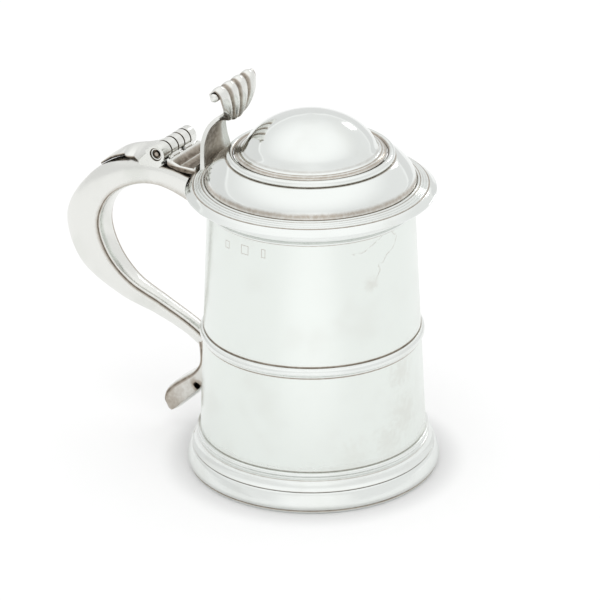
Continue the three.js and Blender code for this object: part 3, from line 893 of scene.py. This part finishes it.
def vent_drill():
    points = []
    flank = -TERMINAL_HALF_WIDTH[4]
    for y in (flank - VENT_DEPTH, flank + VENT_DEPTH):
        for k in range(VENT_SIDES):
            turn = TURN * k / VENT_SIDES
            points.append((AXIS_X - VENT_PLACE[0] + VENT_RADIUS * math.cos(turn), y,
                           VENT_PLACE[1] + VENT_RADIUS * math.sin(turn)))
    faces = grid_faces(2, VENT_SIDES, False)
    faces += [tuple(range(VENT_SIDES)), tuple(range(2 * VENT_SIDES - 1, VENT_SIDES - 1, -1))]
    # The drill's walls bring near-black painted shade into the hole.
    return make_mesh("drill", points, faces, [1.0] * len(points))


# Points deep in the vent get painted shade.
def in_vent(place):
    inside = place.y < 0 and aside_from(VENT_PLACE, place) < VENT_RADIUS + 0.05
    return VENT_SHADE if inside else None


# ---- Hinge ----


def rounded_prism(name, outline, start, end, soft=0.3):
    """A flat outline in the plane of the handle, given thickness along Y, its edges eased."""
    centre = sum((Vector(p) for p in outline), Vector((0, 0))) / len(outline)
    rings = []
    for y, share in ((start, soft), (start + soft * 0.3, soft * 0.3), (start + soft, 0),
                     (end - soft, 0), (end - soft * 0.3, soft * 0.3), (end, soft)):
        ring = []
        for point in outline:
            inward = (centre - Vector(point)).normalized() * share
            ring.append((point[0] + inward.x, y, point[1] + inward.y))
        rings.append(ring)
    return lofted(name, rings)


WEB_BACK = 81.1
WEB_INSET = 0.04
WEB_LAP = 1.2  # the fixed webs run on into the leaf, as one casting
FIXED_WEB = [(73.6, 149), (73.4, 144.2), (75.2, 142.3), (WEB_BACK, 142.1), (WEB_BACK, 150.6),
             (77, 153.2)]
MOVING_WEB = [(71.1, 144.4), (71.1, 146.8), (74, 149.5), (77, 148), (75.6, 145.2)]
KNUCKLES = [("near", FIXED_WEB), ("inner_near", MOVING_WEB), ("middle", FIXED_WEB),
            ("inner_far", MOVING_WEB), ("far", FIXED_WEB)]
BARREL_EASE = 0.3
SHOULDER = 0.12


def barrel_end(y, inwards, open_end):
    """One end of a knuckle: outline points from the bore outwards, with painted shade on its end
    face.
    """
    ease = BARREL_EASE
    rim = [(BARREL_RADIUS - ease, y), (BARREL_RADIUS - ease * 0.3, y + inwards * ease * 0.3),
           (BARREL_RADIUS, y + inwards * ease)]
    # The recess and the end face get near-black painted shade, as the gaps between knuckles are
    # dark.
    if open_end:
        floor = y + inwards * RECESS_DEPTH
        return ([(BORE_RADIUS, floor), (RECESS_RADIUS, floor), (RECESS_RADIUS, y),
                 (RECESS_RADIUS + 0.15, y)] + rim, [1.0, 1.0, 0.9, 0.0, 0.0, 0.0, 0.0])
    shoulder = (BARREL_RADIUS, y + inwards * (ease + SHOULDER))
    return [(BORE_RADIUS, y)] + rim + [shoulder], [1.0, 1.0, 1.0, 0.9, 0.0]


def on_web(place):
    return 0.0 if aside_from(HINGE, place) > BARREL_RADIUS + 0.01 else None


def build_knuckle(place, web):
    node = f"hinge_knuckle_{place}"
    start, end = across_of(node)
    near_end, near_gap_shade = barrel_end(start, 1, place == "near")
    far_end, far_gap_shade = barrel_end(end, -1, place == "far")
    tube = turned_across(f"knuckle_{place}_silver", HINGE, near_end + far_end[::-1],
                         patina_and_shade=near_gap_shade + far_gap_shade[::-1])
    if web is FIXED_WEB:
        web = [(r + WEB_LAP if r == WEB_BACK else r, z) for r, z in web]
    plate = rounded_prism("web", softened(web, 0.5), start + WEB_INSET, end - WEB_INSET)
    bore = turned_across("bore", HINGE, [(0, start - 1), (RECESS_RADIUS, start - 1),
                                         (RECESS_RADIUS, end + 1), (0, end + 1)], 48)
    plate = boolean(plate, bore)
    stand_for(repaint(boolean(tube, plate, "UNION"), on_web), node, CAST)


PIN_EASE = 0.3
PIN_TARNISH = [0.5, 0.6, 1, 1, 0.6, 0.5]


def build_pin():
    start, end = across_of("hinge_pin")
    pin = [(0, start), (PIN_RADIUS - PIN_EASE, start), (PIN_RADIUS, start + PIN_EASE),
           (PIN_RADIUS, end - PIN_EASE), (PIN_RADIUS - PIN_EASE, end), (0, end)]
    stand_for(turned_across("pin_silver", HINGE, pin, 40, PIN_TARNISH), "hinge_pin", CAST)


def build_washer(place):
    node = f"pin_washer_{place}"
    start, end = across_of(node)
    radius = RECESS_RADIUS - SOLDER
    ring = softened([(WASHER_HOLE_RADIUS, start), (radius, start), (radius, end),
                     (WASHER_HOLE_RADIUS, end)], 0.15)
    stand_for(turned_across(f"washer_{place}_silver", HINGE, ring, 48), node, CAST)


LEAF_TOP = [(81.4, 150.6), (88, 148.4), (94, 146.9), (101, 144.4), (109, 139.2), (117.4, 132)]
LEAF_BOTTOM = [(81.4, 142.2), (88, 142.1), (94, 141.6), (101, 139.8), (109, 136.2), (117.4, 130.9)]
LEAF_DROP = [1.4, 5.2, 4.2, 2.2, 0.9, 0]
LEAF_ARCH = 1.5
BUTT_END = 87.0
LEAF_EDGE = [8, 1.4, 1.2, 1.1, 1.1, 0.8]
LEAF_STEPS = 120
LEAF_ACROSS = 24
LEAF_NARROWING = 0.96
LEAF_LEAST_EDGE = 0.5
# Painted shade under the leaf's overhanging edges, lighter at the butt.
LEAF_UNDER_SHADE = 0.95
BUTT_UNDER_SHADE = 0.1
# Half width by reach: a straight butt, a waist, two small cusps and a long point.
LEAF_PLAN = [(81.4, 15.0), (85.4, 15.0), (87.4, 13.8), (90.2, 10.6), (93.4, 8.2), (96.6, 8.9),
             (98.2, 8.4), (100.2, 6.0), (102.6, 6.7), (104.0, 6.0), (108, 4.3), (113, 2.2),
             (117.4, 0.5)]


def leaf_half_width(reach):
    for (r0, w0), (r1, w1) in zip(LEAF_PLAN, LEAF_PLAN[1:]):
        if reach <= r1:
            return w0 + (w1 - w0) * (reach - r0) / (r1 - r0)
    return LEAF_PLAN[-1][1]


def build_leaf():
    rings, patina_and_shade = [], []
    for i in range(LEAF_STEPS + 1):
        s = i / LEAF_STEPS
        crest, floor = spline(LEAF_TOP, s), spline(LEAF_BOTTOM, s)
        half = leaf_half_width(crest.x)
        drop = graded(LEAF_DROP, s)
        on_butt = crest.x < BUTT_END
        ring = []
        for k in range(LEAF_ACROSS + 1):
            u = 1 - 2 * k / LEAF_ACROSS
            ring.append((crest.x, u * half, crest.y - drop * abs(u) ** LEAF_ARCH))
            patina_and_shade.append(0.0)
        # The points under the leaf get painted shade.
        for u in (-1, -0.45, 0.45, 1):
            above = crest.y - drop * abs(u) ** LEAF_ARCH
            height = min(floor.y, above - LEAF_LEAST_EDGE)
            narrow, tarnish = 1, LEAF_UNDER_SHADE
            if abs(u) == 1:
                height = max(above - graded(LEAF_EDGE, s), height)
                if on_butt:
                    tarnish = BUTT_UNDER_SHADE
                else:
                    narrow = LEAF_NARROWING
            ring.append((crest.x, u * half * narrow, height))
            patina_and_shade.append(tarnish)
        rings.append(ring)
    stand_for(lofted("leaf_silver", rings, patina_and_shade, 30), "hinge_leaf", CAST)


# ---- The plate on the lid and the thumbpiece ----


def lid_cutter():
    """The inside of the lid, out to the middle of its sheets."""
    outline = [(0, 130), (58.6, 130), (58.6, 141.4), (56.5, 143.2), (53.0, 144.6), (50.0, 146.0),
               (49.0, 148.4), (47.6, 150.8), (45.2, 153.6), (42.4, 155.8), (0, 157.6)]
    return turned("cutter", outline, CUTTER_STEPS)


# The plate's upper face along its middle, and its underside from the barrel to the lid.
PLATE_TOP = [(55.0, 146.7), (57.0, 144.6), (63.2, 143.0), (64.6, 143.3), (65.2, 144.3),
             (65.8, 143.4), (67.0, 143.9), (68.4, 146.2), (68.9, 147.3), (70.0, 147.3),
             (70.8, 146.4)]
PLATE_UNDER = [(70.8, 144.6), (69.8, 143.8), (64.5, 142.4), (57.5, 142.3), (55.0, 143.4)]
PLATE_START = PLATE_TOP[0][0]
PLATE_LENGTH = PLATE_TOP[-1][0] - PLATE_START
PLATE_STEPS = 48
PLATE_ACROSS = 72
PLATE_EASE = 0.35
EASE_WIDTH = 0.4
# Painted shade on the plate's underside, grading up its ends, over the dark gap to the handle.
PLATE_UNDER_SHADE = 0.85
# The raised walls at the plate's two ends: of full height to RIM_OUT from the end, gone at RIM_IN.
RIM_OUT = 1.0
RIM_IN = 1.7
RIM_HEIGHT = 145.0
RIM_RISE = 2.2
# Tarnish across the plate, and where it is deeper or paler: (reach, spread, change).
PLATE_TARNISH = 0.5
PLATE_SHADES = [(66.4, 1.3, 0.3), (61, 4, 0.3), (65.2, 0.5, -0.55), (69.5, 0.9, -0.75)]


def plate_top(reach, side):
    """Height of the plate's upper face. side is 0 along the middle and 1 at the two ends."""
    height = PLATE_TOP[-1][1]
    for (r0, z0), (r1, z1) in zip(PLATE_TOP, PLATE_TOP[1:]):
        if reach <= r1:
            height = z0 + (z1 - z0) * (reach - r0) / (r1 - r0)
            break
    rim = RIM_HEIGHT + RIM_RISE * max(0, (reach - 64) / 6)
    return height + max(0, rim - height) * side


def plate_tarnish(reach):
    level = PLATE_TARNISH
    for place, spread, change in PLATE_SHADES:
        level += change * math.exp(-(((reach - place) / spread) ** 2))
    return min(0.8, max(0.03, level))


def build_plate():
    half = radius_of("lid_hinge_plate")
    reaches = [PLATE_START + PLATE_LENGTH * i / PLATE_STEPS for i in range(PLATE_STEPS + 1)]
    rings, patina_and_shade = [], []
    for i in range(PLATE_ACROSS + 1):
        y = -half + 2 * half * i / PLATE_ACROSS
        away = half - abs(y)
        side = min(1, max(0, RIM_IN - away) / (RIM_IN - RIM_OUT))
        ease = PLATE_EASE * max(0, 1 - away / EASE_WIDTH)
        ring = [(reach, y, plate_top(reach, side) - ease) for reach in reaches]
        patina_and_shade += [plate_tarnish(reach) * (1 - side) for reach in reaches]
        ring += [(reach, y, z) for reach, z in PLATE_UNDER]
        patina_and_shade += [PLATE_UNDER_SHADE] * len(PLATE_UNDER)
        rings.append(ring)
    plate = lofted("lid_plate_silver", rings, patina_and_shade)
    stand_for(boolean(plate, lid_cutter()), "lid_hinge_plate", CAST)


THUMB_FRONT = [(50.2, 143.5), (51.3, 151), (51.9, 157.8), (50.4, 164.4), (46.2, 168.4),
               (40.9, 170.9), (37.7, 175.6), (36.7, 182), (38.3, 187.2), (41.5, 189.3),
               (43.6, 188.6), (44.6, 187.3), (44.7, 186.2), (44.2, 185.5)]
THUMB_BACK = [(52.8, 143.5), (53.4, 151), (54.0, 157.8), (52.3, 165.2), (48.0, 169.8),
              (43.5, 173.4), (40.2, 177), (39.2, 182.2), (39.9, 186.4), (41.4, 188.0),
              (42.6, 187.7), (43.4, 187.0), (43.7, 186.3), (43.7, 185.7)]
THUMB_HALF_WIDTH = [13.6, 12.2, 10.4, 7.6, 5.4, 7.6, 12.0, 15.4, 16.6, 17.0, 17.0, 17.2, 17.4,
                    17.4]
LOBE_HEIGHT = [0, 0, 0, 0.1, 0.9, 1.5, 1.7, 1.7, 1.6, 1.5, 1.0, 0.6, 0.2, 0]
HANG = [0, 0, 0, 0, 0.4, 1.4, 0.6, 0, 0, 0, 0, 0, 0, 0]
STEM_DISH = [1.6, 1.9, 1.8, 1.2, 0.4, 0, 0, 0, 0, 0, 0, 0, 0, 0]
STEM_TARNISH = [0.7, 0.55, 0.66, 0.66, 0.55, 0.1, 0, 0, 0, 0, 0, 0, 0, 0]
EDGE_TARNISH = [0, 0, 0, 0, 0, 0.1, 0.15, 0.4, 0.75, 0.5, 0.2, 0.2, 0.2, 0.2]
# The lobes are darker low on the fan, where the grooves meet.
LOBE_BASE_DARKENING = [0, 0, 0, 0, 0.5, 0.34, 0.16, 0.04, 0, 0, 0, 0, 0, 0]
LOBES = 4
LOBE_STEPS = 12
CREASE = 4.45 / 13  # where the fan folds forward from the stem
CORE_PLACE = (42.0, 185.1)  # the core that the top of the fan rolls round
CORE_RADIUS = 2.2
CORE_HALF_LENGTH = 19.0
THUMB_STEPS = 150
THUMB_BACK_STEPS = 12
GROOVE_ROOM = 0.7  # how much of the fan's thickness a groove may take
GROOVE_TARNISH = 0.62
FOLD_TARNISH = 0.7
FOLD_SPREAD = 0.014
BACK_TARNISH = 0.08


def roll_core():
    """A bar with round ends along the roll at the top of the fan."""
    straight = CORE_HALF_LENGTH - CORE_RADIUS
    outline = [(r, y - straight) for r, y in arc((0, 0), CORE_RADIUS, -90, 0, 8)]
    outline += [(r, y + straight) for r, y in arc((0, 0), CORE_RADIUS, 0, 90, 8)]
    return turned_across("core", CORE_PLACE, outline, 28)


def on_ball(place):
    """The bare ends of the core, which stand out past the fan, are kept bright."""
    beyond = abs(place.y) > THUMB_HALF_WIDTH[-1] + 0.02
    inside = aside_from(CORE_PLACE, place) < CORE_RADIUS + 0.01
    return 0.0 if beyond and inside else None


def fan_tarnish(s, u, height, lobe):
    """Darkest of: tarnish on grooves, stem, fold and edges, and darker low lobes. s up it, u across.
    """
    groove = min(1, height) * min(GROOVE_TARNISH, max(0, 1.1 - lobe * 1.5))
    groove = max(groove, graded(LOBE_BASE_DARKENING, s)) * (abs(u) < 0.9)
    stem = graded(STEM_TARNISH, s) * max(0, 1 - abs((u + 0.12) / 0.86) ** 5)
    fold = FOLD_TARNISH * math.exp(-(((s - CREASE) / FOLD_SPREAD) ** 2)) * (abs(u) < 0.95)
    edge = graded(EDGE_TARNISH, s) * (abs(u) > 0.98)
    return min(1, max(groove, stem, fold, edge))


def build_thumbpiece():
    rings, patina_and_shade = [], []
    count = LOBES * LOBE_STEPS
    for i in range(THUMB_STEPS + 1):
        s = i / THUMB_STEPS
        front, back = spline(THUMB_FRONT, s), spline(THUMB_BACK, s)
        forward = (front - back).normalized()
        half = graded(THUMB_HALF_WIDTH, s)
        height, dish = graded(LOBE_HEIGHT, s), graded(STEM_DISH, s)
        room = (front - back).length * GROOVE_ROOM
        ring = []
        for k in range(count + 1):
            u = 2 * k / count - 1
            lobe = abs(math.sin((u + 1) / 2 * LOBES * math.pi))
            sunk = min(height * (1 - lobe), room) + dish * (1 - u * u)
            point = front - forward * sunk + Vector((-1, -1)) * graded(HANG, s) * (1 - u * u)
            ring.append((point.x, u * half, point.y))
            patina_and_shade.append(fan_tarnish(s, u, height, lobe))
        for k in range(THUMB_BACK_STEPS + 1):
            u = 1 - 2 * k / THUMB_BACK_STEPS
            point = back - forward * dish * (1 - u * u)
            ring.append((point.x, u * half, point.y))
            patina_and_shade.append(max(BACK_TARNISH, graded(EDGE_TARNISH, s)))
        rings.append(ring)
    blade = lofted("thumbpiece_silver", rings, patina_and_shade)
    blade = boolean(blade, lid_cutter())
    blade = repaint(boolean(blade, roll_core(), "UNION"), on_ball)
    stand_for(blade, "thumbpiece", CAST)


build_drum()
build_cup_floor()
build_foot_bead()
build_foot_skirt()
build_foot_rim()
build_girdle()
build_lip()
build_flange()
build_bezel()
build_lower_dome()
build_step_wire()
build_upper_dome()
build_handle_back()
build_handle_strap()
build_terminal()
for place, web in KNUCKLES:
    build_knuckle(place, web)
build_pin()
for place in ("near", "far"):
    build_washer(place)
build_leaf()
build_plate()
build_thumbpiece()


# ---- Floor, light and camera ----

FLOOR_HALF = 6.0
FLOOR_GAP = 0.0001
FLOOR_GREY = 0.7
# Less glow at the foot paints a shadow ring there; the full glow beyond keeps the floor white.
FLOOR_GLOW = (0.1, 0.28)  # at the foot, and beyond its shadow
SHADOW_WIDTH = 16
WHITE = (1, 1, 1, 1)


def build_floor():
    mesh = bpy.data.meshes.new("floor")
    corners = [(-FLOOR_HALF, -FLOOR_HALF, 0), (FLOOR_HALF, -FLOOR_HALF, 0),
               (FLOOR_HALF, FLOOR_HALF, 0), (-FLOOR_HALF, FLOOR_HALF, 0)]
    mesh.from_pydata(corners, [], [(0, 1, 2, 3)])
    floor = bpy.data.objects.new("floor", mesh)
    floor.location.z = cad_low.z - FLOOR_GAP
    bpy.context.scene.collection.objects.link(floor)
    material = bpy.data.materials.new("white_paper")
    material.use_nodes = True
    n = Nodes(material.node_tree)
    place = n.add("ShaderNodeTexCoord").outputs["Object"]
    tooth = n.noise(place, 900, 3)
    bump = n.add("ShaderNodeBump", {"Strength": 0.05, "Distance": 0.0001, "Height": tooth})
    paper = n.add("ShaderNodeBsdfDiffuse", {
        "Color": (FLOOR_GREY, FLOOR_GREY, FLOOR_GREY, 1), "Normal": bump.outputs[0]})
    # The paper's own glow fades out close to the foot, which paints a soft shadow round it.
    x, y, _ = n.add("ShaderNodeSeparateXYZ", {0: place}).outputs
    x = n.math("SUBTRACT", x, AXIS_X * MM)
    away = n.math("SQRT", n.math("ADD", n.math("MULTIPLY", x, x), n.math("MULTIPLY", y, y)))
    strength = n.ramp(away, FOOT_RADIUS * MM, (FOOT_RADIUS + SHADOW_WIDTH) * MM, *FLOOR_GLOW)
    glow = n.add("ShaderNodeEmission", {"Color": WHITE, "Strength": strength})
    both = n.add("ShaderNodeAddShader", {0: paper.outputs[0], 1: glow.outputs[0]})
    out = n.add("ShaderNodeOutputMaterial")
    n.tree.links.new(both.outputs[0], out.inputs["Surface"])
    mesh.materials.append(material)


def aim(lamp, place, target):
    lamp.location = place
    lamp.rotation_mode = "QUATERNION"
    lamp.rotation_quaternion = (Vector(target) - Vector(place)).to_track_quat("-Z", "Y")


def add_area(name, place, target, width, height, power):
    data = bpy.data.lights.new(name, "AREA")
    data.shape = "RECTANGLE"
    data.size, data.size_y, data.energy = width, height, power
    lamp = bpy.data.objects.new(name, data)
    bpy.context.scene.collection.objects.link(lamp)
    aim(lamp, place, target)
    lamp.visible_camera = False
    return lamp


SCREEN_FACES = (0.34, -0.16, 0.93)
FRONT_FACES = (0.5, -0.87)
ROOM_LEVEL, SCREEN_LEVEL = 0.84, 0.93
OVERHEAD_GAIN = 0.24
SCREEN_EDGE = 0.1
EDGE_GAIN = 0.16
FRONT_GAIN = 0.22
KEY_PLACE = (0.3, -0.7, 2.2)
KEY_SIZE = 1.2
KEY_POWER = 4.5
WINDOW_PLACE = (-0.09, 2.64, 1.41)
PANE_SPACING = (0.24, 0.28)
PANE_SIZE = (0.17, 0.2)
PANE_POWER = 0.42
POOL_PLACE = (0.45, -0.75, 1.3)
POOL_TARGET = (AXIS_X * MM + 0.17, -0.32, 0)
POOL_POWER = 16
POOL_COLOUR = (1, 0.94, 1)
POOL_SPREAD = 18


def build_world():
    world = bpy.data.worlds.new("studio")
    bpy.context.scene.world = world
    world.use_nodes = True
    n = Nodes(world.node_tree)
    direction = n.add("ShaderNodeTexCoord").outputs["Generated"]
    x, y, up = n.add("ShaderNodeSeparateXYZ", {0: direction}).outputs
    # A pale screen hangs over the table. Beyond its edge, low behind, the room is greyer.
    screen = n.math("ADD", n.math("MULTIPLY", x, SCREEN_FACES[0]),
                    n.math("MULTIPLY", y, SCREEN_FACES[1]))
    screen = n.math("ADD", screen, n.math("MULTIPLY", up, SCREEN_FACES[2]))
    level = n.math("ADD", n.ramp(screen, 0.06, SCREEN_EDGE, ROOM_LEVEL, SCREEN_LEVEL),
                   n.ramp(up, 0.5, 0.97, 0.0, OVERHEAD_GAIN))
    edge = n.math("ABSOLUTE", n.math("SUBTRACT", screen, SCREEN_EDGE))
    level = n.math("ADD", level, n.ramp(edge, 0.04, 0.0, 0.0, EDGE_GAIN))
    # The wall behind the camera is the brightest thing near the level of the table.
    front = n.math("ADD", n.math("MULTIPLY", x, FRONT_FACES[0]),
                   n.math("MULTIPLY", y, FRONT_FACES[1]))
    level = n.math("ADD", level, n.ramp(front, 0.72, 0.98, 0.0, FRONT_GAIN))
    back = n.add("ShaderNodeBackground", {"Color": WHITE, "Strength": level})
    out = n.add("ShaderNodeOutputWorld")
    n.tree.links.new(back.outputs[0], out.inputs["Surface"])


def build_lamps():
    centre = (cad_low + cad_high) / 2
    key = add_area("key", KEY_PLACE, centre, KEY_SIZE, KEY_SIZE, KEY_POWER)
    key.visible_glossy = False
    # A window behind, in four panes, that shows as one sparkle on every shoulder of the lid.
    for pane in range(4):
        across, rise = (pane % 2 - 0.5) * PANE_SPACING[0], (pane // 2 - 0.5) * PANE_SPACING[1]
        x, y, z = WINDOW_PLACE
        window = add_area(f"window_{pane}", (x + across, y, z + rise), centre, *PANE_SIZE,
                          PANE_POWER)
        window.visible_diffuse = False

    data = bpy.data.lights.new("pool", "SPOT")
    data.energy, data.spot_size = POOL_POWER, math.radians(POOL_SPREAD)
    data.spot_blend = 1.0
    data.color = POOL_COLOUR
    pool = bpy.data.objects.new("pool", data)
    bpy.context.scene.collection.objects.link(pool)
    aim(pool, POOL_PLACE, POOL_TARGET)
    pool.visible_glossy = False


CAMERA_PLACE = (818.2, -1362.0, 801.1)
CAMERA_PITCH = 24.57
CAMERA_TURN = 30.0
CAMERA_ROLL = -0.6
CAMERA_LENS = 216.67
SENSOR_WIDTH = 36


def build_camera():
    data = bpy.data.cameras.new("camera")
    data.sensor_width = SENSOR_WIDTH
    data.lens = CAMERA_LENS
    data.clip_start, data.clip_end = 0.05, 30
    camera = bpy.data.objects.new("camera", data)
    bpy.context.scene.collection.objects.link(camera)
    turn = (Matrix.Rotation(math.radians(CAMERA_TURN), 4, "Z")
            @ Matrix.Rotation(math.radians(90 - CAMERA_PITCH), 4, "X")
            @ Matrix.Rotation(math.radians(CAMERA_ROLL), 4, "Z"))
    camera.matrix_world = Matrix.Translation(Vector(CAMERA_PLACE) * MM) @ turn
    bpy.context.scene.camera = camera


build_floor()
build_world()
build_lamps()
build_camera()
bpy.context.scene.view_settings.view_transform = "Standard"
